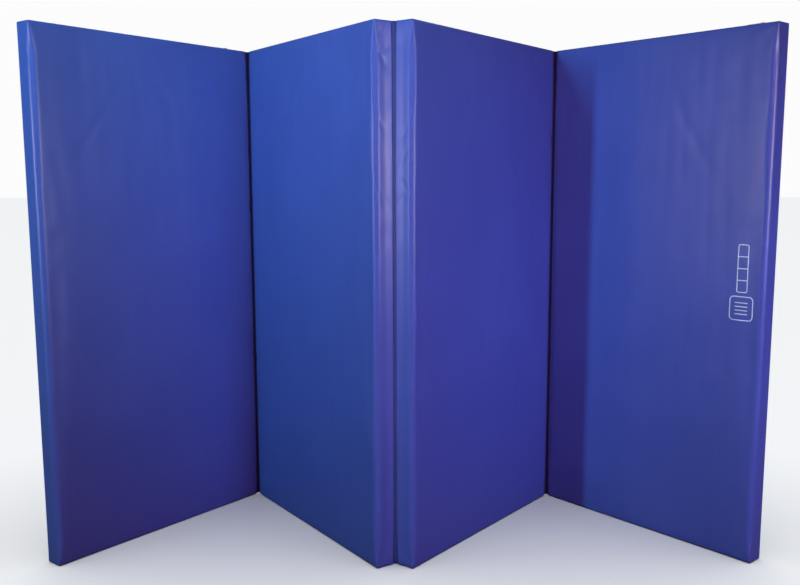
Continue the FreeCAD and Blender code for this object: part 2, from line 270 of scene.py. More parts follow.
class Grid:
    """A panel's skin as rings of points from the bottom seam to the top one, and two end walls."""

    def __init__(self, panel, across_ends, depth_ends, upright_ends, step, depth_step):
        self.panel = panel
        self.across = grid_lines(panel.width, across_ends, step)
        self.deep = grid_lines(panel.depth, depth_ends, depth_step)
        self.up = grid_lines(panel.height, upright_ends, step)
        self.nx = len(self.across) - 1
        self.ny = len(self.deep) - 1
        self.nz = len(self.up) - 1
        self.ring_size = 2 * (self.nx + self.ny)
        self.lay_out()

    def lay_out(self):
        """For each point of a ring: its side, its distance from that side's start, and round the ring."""
        runs = (self.across, self.deep, self.across, self.deep)
        side, near, far, round_ring = [], [], [], []
        passed = 0
        for s, run in enumerate(runs):
            steps = run[:-1] if s < 2 else (run[-1] - run[::-1])[:-1]
            side.append(np.full(len(steps), s))
            near.append(steps)
            far.append(run[-1] - steps)
            round_ring.append(passed + steps)
            passed += run[-1]
        self.side = np.concatenate(side)
        self.near = np.concatenate(near)
        self.far = np.concatenate(far)
        self.round = np.concatenate(round_ring)
        self.girth = passed

    def end_distance(self):
        """How far each ring is from the nearer end seam."""
        return np.minimum(self.up, self.panel.height - self.up)

    def edge_distance(self):
        """How far each point of a ring is from the nearer upright edge of its side."""
        return np.minimum(self.near, self.far)

    def over_side(self, side, margin):
        """1 over one side of the rings, easing to 0 within a margin of its upright edges."""
        return ((self.side == side) * smooth(self.edge_distance() / margin))[None, :]

    def radius(self, corner, end):
        """An upright edge's radius, at a distance from the nearer end."""
        kind = self.panel.corners[corner]
        if kind == "seam":
            return np.full(len(end), SEWN_RADIUS)
        if kind == "hinge":
            return HINGE_RADIUS + HINGE_TIP_GAIN * np.exp(-end / HINGE_TIP_LENGTH)
        return TIP_RADIUS + (BEND_RADIUS - TIP_RADIUS) * smooth(end / TIP_LENGTH)

    def rings(self, notched=True):
        """The rings' points in the panel's axes, shape (rings, ring_size, 3)."""
        end = self.end_distance()
        roll = np.clip(1 - end / SEWN_RADIUS, 0, 1) * math.pi / 4
        inset = SEWN_RADIUS - (SEWN_RADIUS - FACE_INSET) * np.cos(roll)
        drop = np.where(end < SEWN_RADIUS, SEWN_RADIUS - (SEWN_RADIUS - FACE_INSET) * np.sin(roll), end)
        if notched:
            inset = inset + SEAM_NOTCH * (end == 0)
            drop = drop + SEAM_NOTCH * (end == 0)
        width, depth = self.panel.width, self.panel.depth
        starts = np.array([[0, 0], [width, 0], [width, depth], [0, depth]])
        runs = np.array([[1, 0], [0, 1], [-1, 0], [0, -1]])
        inwards = np.array([[0, 1], [-1, 0], [0, -1], [1, 0]])
        length = np.array([width, depth, width, depth])[self.side]
        first = self.edge_curve(self.near, self.side, end, inset)
        last = self.edge_curve(self.far, (self.side + 1) % 4, end, inset)
        nearer_first = (self.near <= self.far)[None, :, None]
        along, deep = np.moveaxis(np.where(nearer_first, first, last), 2, 0)
        along = np.where(nearer_first[:, :, 0], along, length - along)
        points = np.zeros((self.nz + 1, self.ring_size, 3))
        points[:, :, :2] = (starts[self.side] + along[:, :, None] * runs[self.side]
                            + deep[:, :, None] * inwards[self.side])
        height = np.where(self.up < self.panel.height / 2, drop, self.panel.height - drop)
        points[:, :, 2] = height[:, None]
        return points

    def edge_curve(self, distance, corner, end, inset):
        """How far along its side and how deep a point lies, from its distance to an upright edge."""
        radii = np.stack([self.radius(c, end) for c in range(4)])[corner].T
        inner = np.maximum(radii - inset[:, None], 0.4 * MM)
        turn = np.clip(1 - distance / radii, 0, 1) * math.pi / 4
        on_arc = distance < radii
        along = np.where(on_arc, radii - inner * np.sin(turn), distance)
        deep = np.where(on_arc, radii - inner * np.cos(turn), inset[:, None])
        kinds = np.array(self.panel.corners)[corner]
        is_face = np.array([True, False, True, False])[self.side]
        hinged = kinds == "hinge"
        on_face, on_wall = hinged * is_face, hinged * ~is_face
        recess = HINGE_RECESS * smooth(1 - distance / HINGE_REACH)
        along = along - HINGE_SWELL * smooth(1 - distance / FACE_SWELL_REACH) * on_face + recess * on_wall
        deep = deep - HINGE_SWELL * smooth(1 - distance / WALL_SWELL_REACH) * on_wall + recess * on_face
        notch = SEAM_NOTCH * (distance == 0) * (kinds != "bend")
        return np.stack([along + notch, deep + notch], axis=2)

    def outward(self, points):
        """The rings' outward directions."""
        ahead = np.roll(points, -1, axis=1) - np.roll(points, 1, axis=1)
        out = np.stack([ahead[:, :, 1], -ahead[:, :, 0], np.zeros(ahead.shape[:2])], axis=2)
        return out / np.linalg.norm(out, axis=2, keepdims=True)

    def edge_of_wall(self, ring):
        """A ring's points as the border of an (nx + 1, ny + 1) end wall: front, right, back, left."""
        nx, ny = self.nx, self.ny
        closed = np.concatenate([ring, ring[:1]])
        front = closed[:nx + 1]
        right = closed[nx:nx + ny + 1]
        back = closed[nx + ny:2 * nx + ny + 1][::-1]
        left = closed[2 * nx + ny:][::-1]
        return front, right, back, left

    def end_wall(self, ring, border, outer_height, inset, facing):
        """An end wall filling the plain ring, rolled down to the border ring's height."""
        front, right, back, left = self.edge_of_wall(ring)
        u = (self.across / self.panel.width)[:, None, None]
        v = (self.deep / self.panel.depth)[None, :, None]
        wall = ((1 - v) * front[:, None] + v * back[:, None] + (1 - u) * left[None] + u * right[None]
                - (1 - u) * (1 - v) * front[0] - u * (1 - v) * front[-1]
                - (1 - u) * v * back[0] - u * v * back[-1])
        rim = np.minimum(np.minimum(self.across, self.panel.width - self.across)[:, None],
                         np.minimum(self.deep, self.panel.depth - self.deep)[None])
        fall = abs(outer_height - ring[0, 2])
        rise = np.sin(np.clip(rim / END_ROLL, 0, 1) * math.pi / 2)
        wall[:, :, 2] = outer_height - facing * (inset + (fall - inset) * (1 - rise))
        front, right, back, left = self.edge_of_wall(border)
        wall[:, 0], wall[:, -1], wall[0], wall[-1] = front, back, left, right
        return wall

    def wall_indices(self, ring_start, inner_start):
        """Vertex numbers of an end wall: the ring's around the border, new ones inside."""
        inner = inner_start + np.arange((self.nx - 1) * (self.ny - 1)).reshape(self.nx - 1, self.ny - 1)
        numbers = np.zeros((self.nx + 1, self.ny + 1), int)
        front, right, back, left = self.edge_of_wall(ring_start + np.arange(self.ring_size))
        numbers[:, 0], numbers[:, -1], numbers[0], numbers[-1] = front, back, left, right
        numbers[1:-1, 1:-1] = inner
        return numbers

    def faces(self):
        """The quads of the rings, the bottom wall and the top wall."""
        ring = np.arange(self.ring_size)
        level = (np.arange(self.nz) * self.ring_size)[:, None]
        here, there = level + ring, level + np.roll(ring, -1)
        above = self.ring_size
        skin = np.stack([here, there, there + above, here + above], axis=2).reshape(-1, 4)
        ring_count = (self.nz + 1) * self.ring_size
        inner_count = (self.nx - 1) * (self.ny - 1)
        bottom = quads(self.wall_indices(0, ring_count))[:, ::-1]
        top = quads(self.wall_indices(self.nz * self.ring_size, ring_count + inner_count))
        return skin, bottom, top

    def points(self, rings, bottom, top):
        inner = [wall[1:-1, 1:-1].reshape(-1, 3) for wall in (bottom, top)]
        return np.vstack([rings.reshape(-1, 3), *inner])


def quads(numbers):
    """The quads of a grid of vertex numbers."""
    corners = [numbers[:-1, :-1], numbers[1:, :-1], numbers[1:, 1:], numbers[:-1, 1:]]
    return np.stack(corners, axis=2).reshape(-1, 4)


def mesh_object(name, points, faces):
    mesh = bpy.data.meshes.new(name)
    mesh.from_pydata([tuple(p) for p in points], [], [tuple(f) for f in faces])
    mesh.polygons.foreach_set("use_smooth", np.ones(len(mesh.polygons), bool))
    mesh.update()
    piece = bpy.data.objects.new(name, mesh)
    bpy.context.scene.collection.objects.link(piece)
    return piece


# ---------------- cloth simulation

def puff(panel):
    """How a cloth skin pressed out by its foam moves, on a coarse grid: the grid and its movement."""
    grid = Grid(panel, COARSE_ENDS, COARSE_ENDS, COARSE_ENDS, COARSE_STEP, COARSE_DEPTH_STEP)
    rings = grid.rings(notched=False)
    bottom = grid.end_wall(rings[0], rings[0], 0, BOTTOM_INSET, -1)
    top = grid.end_wall(rings[-1], rings[-1], panel.height, TOP_INSET, 1)
    points = grid.points(rings, bottom, top)
    loose = mesh_object("loose_cover", points, np.vstack(grid.faces()))
    pin = loose.vertex_groups.new(name="sewn")
    pin.add([int(n) for n in np.flatnonzero(sewn_points(grid))], 1.0, "REPLACE")
    cloth = loose.modifiers.new("Cloth", "CLOTH")
    settings = cloth.settings
    settings.quality = 5
    settings.mass = 0.4
    settings.tension_stiffness = 25
    settings.compression_stiffness = 20
    settings.shear_stiffness = 12
    settings.bending_stiffness = 2.0
    settings.use_pressure = True
    settings.uniform_pressure_force = PRESSURE
    settings.shrink_min = -SLACK
    settings.effector_weights.gravity = 0
    settings.vertex_group_mass = pin.name
    scene = bpy.context.scene
    for step in range(1, FRAMES + 1):
        scene.frame_set(step)
    settled = loose.evaluated_get(bpy.context.evaluated_depsgraph_get())
    flat = np.zeros(3 * len(points))
    settled.data.vertices.foreach_get("co", flat)
    moved = flat.reshape(-1, 3) - points
    scene.frame_set(1)
    mesh = loose.data
    bpy.data.objects.remove(loose)
    bpy.data.meshes.remove(mesh)
    return grid, moved[:rings[:, :, 0].size].reshape(rings.shape)


def sewn_points(grid):
    """True for the points along the end seams and the sewn upright edges."""
    held = np.zeros((grid.nz + 1, grid.ring_size), bool)
    held[0], held[-1] = True, True
    for corner, kind in enumerate(grid.panel.corners):
        if kind != "bend":
            held[:, np.flatnonzero((grid.side == corner) & (grid.near == 0))] = True
    inner = np.zeros(2 * (grid.nx - 1) * (grid.ny - 1), bool)
    inner[:len(inner) // 2] = True
    return np.concatenate([held.ravel(), inner])


def puffed_height(panel, fine):
    """The settled cloth's outward movement at the fine grid's points, softly limited."""
    grid, moved = puff(panel)
    out = (moved * grid.outward(grid.rings(notched=False))).sum(axis=2)
    out = -eased(-eased(out, PUFF_LIMIT), SINK_LIMIT)
    wrapped = np.hstack([out, out[:, :1]])
    stations = np.append(grid.round, grid.girth)
    across = np.stack([np.interp(fine.round, stations, row) for row in wrapped])
    height = np.stack([np.interp(fine.up, grid.up, column) for column in across.T], axis=1)
    for _ in range(SMOOTHING_PASSES):
        height = (np.roll(height, 1, axis=1) + 2 * height + np.roll(height, -1, axis=1)) / 4
        height[1:-1] = (height[:-2] + 2 * height[1:-1] + height[2:]) / 4
    return height * smooth(fine.end_distance() / (12 * MM))[:, None]


# ---------------- folds

def folds(panel, grid):
    """Undulations, seam puckers, corner pulls and creases over the rings, as outward heights."""
    random = panel.random
    is_face = np.isin(grid.side, (0, 2))
    place = grid.round[None, :]
    up = grid.up[:, None]
    end = grid.end_distance()[:, None]
    side = grid.edge_distance()[None, :]
    calm = smooth(end / (40 * MM)) * smooth(side / (30 * MM))
    swell = ripples(random, 11, 150 * MM, 420 * MM)(place, up) * SWELL_HEIGHT * calm * is_face
    fine_swell = ripples(random, 13, 45 * MM, 110 * MM)(place, up) * FINE_SWELL_HEIGHT
    fine_swell = fine_swell * smooth(end / (12 * MM)) * smooth(side / (10 * MM))
    return (swell + fine_swell + hanging_folds(random, grid) + puckers(random, grid)
            + corner_pulls(random, grid) + wall_creases(random, grid))


def hanging_folds(random, grid):
    """Faint upright folds down each face, and a few long slanting ones from its upper edge."""
    width, height = grid.panel.width, grid.panel.height
    total = 0
    for side in (0, 2):
        a, b = grid.near[None, :], grid.up[:, None]
        calm = grid.over_side(side, 40 * MM) * smooth(grid.end_distance() / (50 * MM))[:, None]
        sway = ripples(random, 4, 500 * MM, 900 * MM)(a, b) * HANGING_SWAY
        streaks = ripples(random, 6, 34 * MM, 90 * MM)(a + sway, 0.06 * b)
        size = 0.5 + 0.5 * smooth((b - 0.35 * height) / (0.6 * height))
        total = total + HANGING_HEIGHT * streaks * size * calm
        for _ in range(SLANTING_FOLDS):
            start = (random.uniform(0.1, 0.9) * width, height - random.uniform(10, 90) * MM)
            run = np.array([random.uniform(-0.75, 0.75), -1]) * random.uniform(0.12, 0.34) * height
            total = total + crease(a, b, start, start + run, random.uniform(13, 24) * MM,
                                   random.uniform(0.45, 1.0) * MM) * calm
    return total


def puckers(random, grid):
    """Small even gathers along the end seams."""
    place = grid.round[None, :]
    end = grid.end_distance()[:, None]
    low = (grid.up < grid.panel.height / 2)[:, None]
    total = 0
    for here in (low, ~low):
        drift = ripples(random, 4, 90 * MM, 260 * MM)(place, 0 * place)
        size = 0.55 + 0.45 * ripples(random, 5, 120 * MM, 300 * MM)(place, 0 * place)
        wave = np.sin(place * math.tau / PUCKER_LENGTH + 2.2 * drift)
        reach = np.exp(-end / PUCKER_REACH) * smooth(end / (3 * MM))
        total = total + PUCKER_HEIGHT * wave * size * reach * here
    return total


def corner_pulls(random, grid):
    """Folds that fan out from each face's corners, where the end seam turns."""
    total = 0
    for side in (0, 2):
        on_side = (grid.side == side)[None, :]
        for distance in (grid.near, grid.far):
            for end in (grid.up, grid.panel.height - grid.up):
                a, b = distance[None, :], end[:, None]
                reach = np.hypot(a, b)
                turn = np.arctan2(b, a + 1e-9)
                count = random.uniform(7, 10)
                phase = random.uniform(0, math.tau)
                size = random.uniform(0.5, 1.0) * MM
                fan = np.cos(turn * count + phase) * np.exp(-reach / PULL_REACH)
                clear = smooth((reach - 8 * MM) / (22 * MM)) * smooth(a / (12 * MM)) * smooth(b / (9 * MM))
                total = total + size * fan * clear * on_side
    return total


def wall_creases(random, grid):
    """Slanting creases across the narrow side walls, closest together near their ends."""
    depth = grid.panel.depth
    height = grid.panel.height
    total = 0
    for side in (1, 3):
        on_side = grid.over_side(side, 7 * MM)
        a, b = grid.near[None, :], grid.up[:, None]
        for _ in range(WALL_CREASES):
            away = math.copysign(random.uniform(0.1, 1) ** 0.6, random.uniform(-1, 1))
            middle = min(max(height * (0.5 + 0.5 * away), 30 * MM), height - 30 * MM)
            rise = random.uniform(12, 40) * MM * (1 if random.uniform() < 0.7 else -1)
            start = (random.uniform(-4, 10) * MM, middle - rise)
            finish = (depth - random.uniform(-4, 10) * MM, middle + rise)
            width = random.uniform(4.5, 8) * MM
            total = total + crease(a, b, start, finish, width, random.uniform(0.35, 0.9) * MM) * on_side
    return total


# ---------------- the covers

def fine_grid(panel):
    return Grid(panel, ACROSS_ENDS, DEPTH_ENDS, UPRIGHT_ENDS, FINE_STEP, DEPTH_STEP)


def cover(panel, material):
    """The whole sewn skin of one panel."""
    grid = fine_grid(panel)
    plain = grid.rings(notched=False)
    rings = grid.rings()
    outward = grid.outward(plain)
    height = eased(puffed_height(panel, grid) + folds(panel, grid), FOLD_LIMIT)
    rings = rings + outward * height[:, :, None]
    bottom = grid.end_wall(plain[0], rings[0], 0, BOTTOM_INSET, -1)
    top = grid.end_wall(plain[-1], rings[-1], panel.height, TOP_INSET, 1)
    shape_top(panel, grid, top)
    skin, bottom_faces, top_faces = grid.faces()
    inside = slot_cells(panel, grid)
    faces = np.vstack([skin, bottom_faces, top_faces[~inside]])
    piece = mesh_object(f"cover_{panel.number}", panel.place(grid.points(rings, bottom, top)), faces)
    turn_hem_down(piece)
    piece.data.materials.append(material)
    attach(piece, panel.body)
    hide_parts(*panel.nodes)
    return Skin(grid, rings)


def shape_top(panel, grid, wall):
    """Small gathers in the top wall beside its seams."""
    rim = np.minimum(grid.deep, panel.depth - grid.deep)[None, 1:-1]
    wave = np.sin(grid.across[1:-1, None] * math.tau / HEM_GATHER_LENGTH + panel.number)
    reach = np.exp(-rim / (5 * MM)) * smooth(rim / (2 * MM))
    wall[1:-1, 1:-1, 2] -= HEM_GATHER * (1 + wave) * reach


def slot_cells(panel, grid):
    """True for the top wall's cells inside the zip's opening."""
    x = (grid.across[:-1] + grid.across[1:]) / 2 - panel.width / 2
    y = (grid.deep[:-1] + grid.deep[1:]) / 2 - panel.depth / 2
    return ((np.abs(x) < SLOT_LENGTH / 2)[:, None] & (np.abs(y) < SLOT_WIDTH / 2)[None]).ravel()


def turn_hem_down(piece):
    """Folds the edge of the zip's opening down to the tape."""
    work = bmesh.new()
    work.from_mesh(piece.data)
    rim = [edge for edge in work.edges if edge.is_boundary]
    made = bmesh.ops.extrude_edge_only(work, edges=rim)["geom"]
    for item in made:
        if isinstance(item, bmesh.types.BMVert):
            item.co.z -= HEM_DEPTH
    bmesh.ops.recalc_face_normals(work, faces=work.faces)
    work.to_mesh(piece.data)
    work.free()


class Skin:
    """A finished cover's surface, for what is sewn or printed on it."""

    def __init__(self, grid, rings):
        self.grid = grid
        self.rings = rings

    def on(self, side, distance, height):
        """Surface points at distances along a side and at heights, in the panel's axes."""
        grid = self.grid
        columns = np.flatnonzero(grid.side == side)
        stations = np.append(grid.near[columns], grid.near[columns[-1]] + grid.far[columns[-1]])
        columns = np.append(columns, (columns[-1] + 1) % grid.ring_size)
        j = np.clip(np.searchsorted(stations, distance) - 1, 0, len(stations) - 2)
        i = np.clip(np.searchsorted(grid.up, height) - 1, 0, grid.nz - 1)
        u = ((distance - stations[j]) / (stations[j + 1] - stations[j]))[:, None]
        v = ((height - grid.up[i]) / (grid.up[i + 1] - grid.up[i]))[:, None]
        low = (1 - u) * self.rings[i, columns[j]] + u * self.rings[i, columns[j + 1]]
        high = (1 - u) * self.rings[i + 1, columns[j]] + u * self.rings[i + 1, columns[j + 1]]
        return (1 - v) * low + v * high


# ---------------- strips, webs and thread

def sweep(name, sections, material):
    """A closed strip through equal sections, given as an array (sections, points, 3)."""
    count, size = sections.shape[:2]
    numbers = np.arange(count * size).reshape(count, size)
    closed = np.hstack([numbers, numbers[:, :1]])
    sides = quads(closed)[:, ::-1].tolist()
    ends = [numbers[0][::-1].tolist(), numbers[-1].tolist()]
    piece = mesh_object(name, sections.reshape(-1, 3), sides + ends)
    piece.data.materials.append(material)
    return piece


def hinge_web(number, left, right, material):
    """The cloth that joins two panels: sewn into both edges, and creased between them."""
    front = number % 2 == 1
    inward = left.axes[0] - right.axes[0]
    inward = inward / np.linalg.norm(inward)
    axis = np.array(joint(f"fold_{number}")["pos_m"])
    crease = axis + inward * (WEB_CREASE_FRONT if front else WEB_CREASE_BACK)
    halves = [web_half(panel, edge, lean, front, axis, crease, inward)
              for panel, edge, lean in ((left, left.width, -1), (right, 0, 1))]
    loop = web_loop(np.vstack([halves[0], halves[1][::-1]]), front)
    heights = np.linspace(WEB_MARGIN, left.height - WEB_MARGIN, WEB_STATIONS)
    near_crease = np.exp(-((loop - crease) @ inward / WEB_CREASE_REACH) ** 2)
    wobble = ripples(np.random.default_rng(40 + number), 9, 25 * MM, 90 * MM)(heights, 0 * heights)
    sections = loop + WEB_WOBBLE * wobble[:, None, None] * near_crease[None, :, None] * inward
    sections[:, :, 2] = heights[:, None]
    piece = sweep(f"hinge_cloth_{number}", sections, material)
    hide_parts(f"hinge_web_{number}")
    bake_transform(piece)


def web_half(panel, edge, lean, front, axis, crease, inward):
    """The web's outer line in plan, from inside one panel's cover to its side of the crease."""
    root, mouth = (panel.place([edge + lean * x, y if front else panel.depth - y, 0])
                   for x, y in (WEB_ROOT, WEB_MOUTH))
    sideways = np.cross(inward, (0, 0, 1)) * WEB_CREASE_WIDTH / 2
    if np.dot(sideways, mouth - axis) < 0:
        sideways = -sideways
    end = crease + sideways
    run = [mouth, mouth - lean * WEB_HANDLE * panel.axes[0], end - WEB_HANDLE / 2 * inward, end]
    return np.vstack([root, bezier(run, WEB_POINTS)])


def web_loop(outer, front):
    """A web's whole section in plan: its outer line and, a thickness behind it, its inner one."""
    ahead = np.gradient(outer, axis=0)
    under = np.stack([-ahead[:, 1], ahead[:, 0], 0 * ahead[:, 0]], axis=1) * (1 if front else -1)
    under /= np.linalg.norm(under, axis=1, keepdims=True)
    loop = np.vstack([outer, (outer + under * WEB_THICKNESS)[::-1]])
    return loop if front else loop[::-1]


def bezier(run, count):
    """Points along the cubic curve that four points control."""
    t = np.linspace(0, 1, count)[:, None]
    return ((1 - t) ** 3 * run[0] + 3 * t * (1 - t) ** 2 * run[1]
            + 3 * t ** 2 * (1 - t) * run[2] + t ** 3 * run[3])


def stitches(name, places, runs, outs, body, material):
    """Short raised threads at the given places, each along its run."""
    half, wide, tall = STITCH_LENGTH / 2, STITCH_WIDTH / 2, STITCH_HEIGHT
    foot = -0.3 * tall
    shape = [(-half, 0, foot)]
    wide, tall = 0.85 * wide, 0.85 * tall
    for along in (-0.62 * half, 0.62 * half):
        shape += [(along, wide, 0), (along, 0, tall), (along, -wide, 0), (along, 0, foot)]
    shape = np.array(shape + [(half, 0, foot)])
    around = [1, 2, 3, 4]
    faces = [(0, n % 4 + 1, n) for n in around] + [(9, n + 4, n % 4 + 5) for n in around]
    faces += [(n, n % 4 + 1, n % 4 + 5, n + 4) for n in around]
    sides = np.cross(outs, runs)
    points = (places[:, None] + shape[None, :, :1] * runs[:, None] + shape[None, :, 1:2] * sides[:, None]
              + shape[None, :, 2:] * outs[:, None])
    numbers = [tuple(n + 10 * i for n in face) for i in range(len(places)) for face in faces]
    piece = mesh_object(name, points.reshape(-1, 3), numbers)
    piece.data.materials.append(material)
    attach(piece, body)
    return piece


def stitch_row(start, finish, outward):
    """Even stitches from start to finish: places, runs and outward directions."""
    start, finish = np.array(start), np.array(finish)
    length = np.linalg.norm(finish - start)
    run = (finish - start) / length
    count = int(length / STITCH_SPACING)
    places = start + run * (np.arange(count)[:, None] + 0.5) * STITCH_SPACING
    return places, np.repeat([run], count, axis=0), np.repeat([outward], count, axis=0)


def panel_thread(skin, material):
    """A panel's stitching: a row beside each hinge edge, and one each side of the zip."""
    panel = skin.grid.panel
    rows = []
    low, high = STITCH_END, panel.height - STITCH_END
    for corner, kind in enumerate(panel.corners):
        if kind == "hinge":
            front, left = corner in (0, 1), corner in (0, 3)
            side = 0 if front else 2
            near = STITCH_ROW if left == front else panel.width - STITCH_ROW
            places, runs, outs = stitch_row((0, 0, low), (0, 0, high), (0, -1, 0) if front else (0, 1, 0))
            rows.append((skin.on(side, np.full(len(places), near), places[:, 2]), runs, outs))
    middle, top = panel.depth / 2, panel.height - TOP_INSET
    for side in (-1, 1):
        y = middle + side * (SLOT_WIDTH / 2 + ZIP_STITCH_MARGIN)
        ends = [(panel.width / 2 + end * SLOT_LENGTH / 2, y, top) for end in (-1, 1)]
        rows.append(stitch_row(*ends, (0, 0, 1)))
    places, runs, outs = (np.vstack(part) for part in zip(*rows))
    stitches(f"stitching_{panel.number}", panel.place(places), runs @ panel.axes, outs @ panel.axes,
             panel.body, material)


# ---------------- the zips

def local_box(panel, node):
    """A CAD node's low and high corners in the panel's axes."""
    local = (node_points(node) - panel.origin) @ panel.axes.T
    return local.min(0), local.max(0)


def zip_tape(panel, side, material):
    """One half of the zip's woven tape, with a corded inner edge."""
    node = f"zip_tape_{side}_{panel.number}"
    low, high = local_box(panel, node)
    stations = np.linspace(low[0], high[0], TAPE_STATIONS)
    inner_first = side == "back"
    reach = TAPE_ACROSS * (high[1] - low[1])
    y = low[1] + reach if inner_first else high[1] - reach
    upper = np.stack([0 * y, y, high[2] + TAPE_LIFT], axis=1)
    lower = np.stack([0 * y, y, low[2] + np.minimum(TAPE_LIFT, 0)], axis=1)
    loop = np.vstack([upper, lower[::-1]])
    if inner_first:
        loop = loop[::-1]
    sections = np.repeat(loop[None], len(stations), axis=0)
    sections[:, :, 0] = stations[:, None]
    piece = sweep(f"zip_cloth_{side}_{panel.number}", panel.place(sections), material)
    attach(piece, panel.body)
    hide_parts(node)


def zip_coil(panel, side, material):
    """One half of the zip's coil: a flattened spiral whose turns face the gaps in the other half's."""
    node = f"zip_chain_{side}_{panel.number}"
    low, high = local_box(panel, node)
    middle = panel.depth / 2
    away = 1 if side == "back" else -1
    outer = high[1] - middle if away > 0 else middle - low[1]
    turns = int((high[0] - low[0] - COIL_PITCH) / COIL_PITCH)
    angle = np.linspace(0, math.tau * turns, turns * COIL_STEPS + 1) + (0 if away > 0 else math.pi)
    wide = (outer - COIL_CLEARANCE) / 2 - COIL_WIRE
    tall = (high[2] - low[2]) / 2 - COIL_WIRE
    centre_y = middle + away * (outer + COIL_CLEARANCE) / 2
    centre_z = (high[2] + low[2]) / 2
    flat = np.sign(np.cos(angle)) * np.abs(np.cos(angle)) ** COIL_SQUARENESS
    line = np.stack([low[0] + COIL_PITCH / 2 + COIL_PITCH * (angle - angle[0]) / math.tau,
                     centre_y - away * wide * flat, centre_z + tall * np.sin(angle)], axis=1)
    sections = wire_sections(line)
    piece = sweep(f"zip_coil_{side}_{panel.number}", panel.place(sections), material)
    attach(piece, panel.body)
    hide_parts(node)


def wire_sections(line):
    """Rings of points round a coil's line, square to it."""
    ahead = np.gradient(line, axis=0)
    ahead /= np.linalg.norm(ahead, axis=1, keepdims=True)
    sideways = np.cross(ahead, (1, 0, 0))
    sideways /= np.linalg.norm(sideways, axis=1, keepdims=True)
    upward = np.cross(ahead, sideways)
    spokes = (np.arange(COIL_SIDES) * math.tau / COIL_SIDES)[None, :, None]
    return line[:, None] + COIL_WIRE * (np.cos(spokes) * sideways[:, None] + np.sin(spokes) * upward[:, None])


def dress(node, material):
    """Gives a CAD part that stays its finish."""
    slots = frame["nodes"][node].data.materials
    slots.clear()
    slots.append(material)


# ---------------- the print

def printed_mark(skin, material):
    """A plain white sign: the mat's four panels laid flat, above the mat folded into a stack."""
    panel = skin.grid.panel
    points, faces = [], []
    for path in mark_strokes():
        sections = stroke_sections(skin, np.array(path, float))
        numbers = len(points) + np.arange(sections[:, :, 0].size).reshape(sections.shape[:2])
        points += sections.reshape(-1, 3).tolist()
        faces += quads(np.hstack([numbers, numbers[:, :1]])).tolist()
        faces += [numbers[0].tolist(), numbers[-1][::-1].tolist()]
    piece = mesh_object("printed_mark", panel.place(points), faces)
    piece.data.materials.append(material)
    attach(piece, panel.body)


def stroke_sections(skin, path):
    """One line of the sign as a thin strip lying on the cover, in sections of four points."""
    steps = np.linalg.norm(np.diff(path, axis=0), axis=1)
    reach = np.concatenate([[0], np.cumsum(steps)])
    stations = np.linspace(0, reach[-1], max(2, int(reach[-1] / MARK_STEP)))
    line = np.stack([np.interp(stations, reach, path[:, k]) for k in (0, 1)], axis=1)
    ahead = np.gradient(line, axis=0)
    ahead /= np.linalg.norm(ahead, axis=1, keepdims=True)
    across = np.stack([-ahead[:, 1], ahead[:, 0]], axis=1) * MARK_STROKE / 2
    low, high = (skin.on(0, MARK_X + edge[:, 0], MARK_Z + edge[:, 1])
                 for edge in (line - across, line + across))
    raised = np.array([0, MARK_RAISE, 0])
    return np.stack([low - raised, high - raised, high + raised, low + raised], axis=1)


def mark_strokes():
    """The sign's lines, across and up from its lower left corner."""
    strokes = [rounded_frame(MARK_FLAT_LEFT, MARK_FLAT_FOOT, MARK_FLAT_WIDTH, MARK_FLAT_HEIGHT)]
    for part in range(1, PANEL_COUNT):
        height = MARK_FLAT_FOOT + part * MARK_FLAT_HEIGHT / PANEL_COUNT
        strokes.append([(MARK_FLAT_LEFT, height), (MARK_FLAT_LEFT + MARK_FLAT_WIDTH, height)])
    strokes.append(rounded_frame(0, 0, MARK_WIDTH, MARK_WIDTH))
    for part in range(PANEL_COUNT):
        height = (MARK_BAR_FOOT + MARK_BAR_SPACING * part) * MARK_WIDTH
        strokes.append([(MARK_BAR_MARGIN * MARK_WIDTH, height), ((1 - MARK_BAR_MARGIN) * MARK_WIDTH, height)])
    return strokes


def rounded_frame(left, foot, width, height):
    """The closed outline of a box with rounded corners, from its lower right one."""
    radius = MARK_ROUNDING * min(width, height)
    right, top = left + width - radius, foot + height - radius
    left, foot = left + radius, foot + radius
    path = []
    for x, z, turn in ((right, foot, -90), (right, top, 0), (left, top, 90), (left, foot, 180)):
        for step in range(MARK_CORNER_STEPS + 1):
            angle = math.radians(turn + 90 * step / MARK_CORNER_STEPS)
            path.append((x + radius * math.cos(angle), z + radius * math.sin(angle)))
    return path + path[:1]


# ---------------- materials

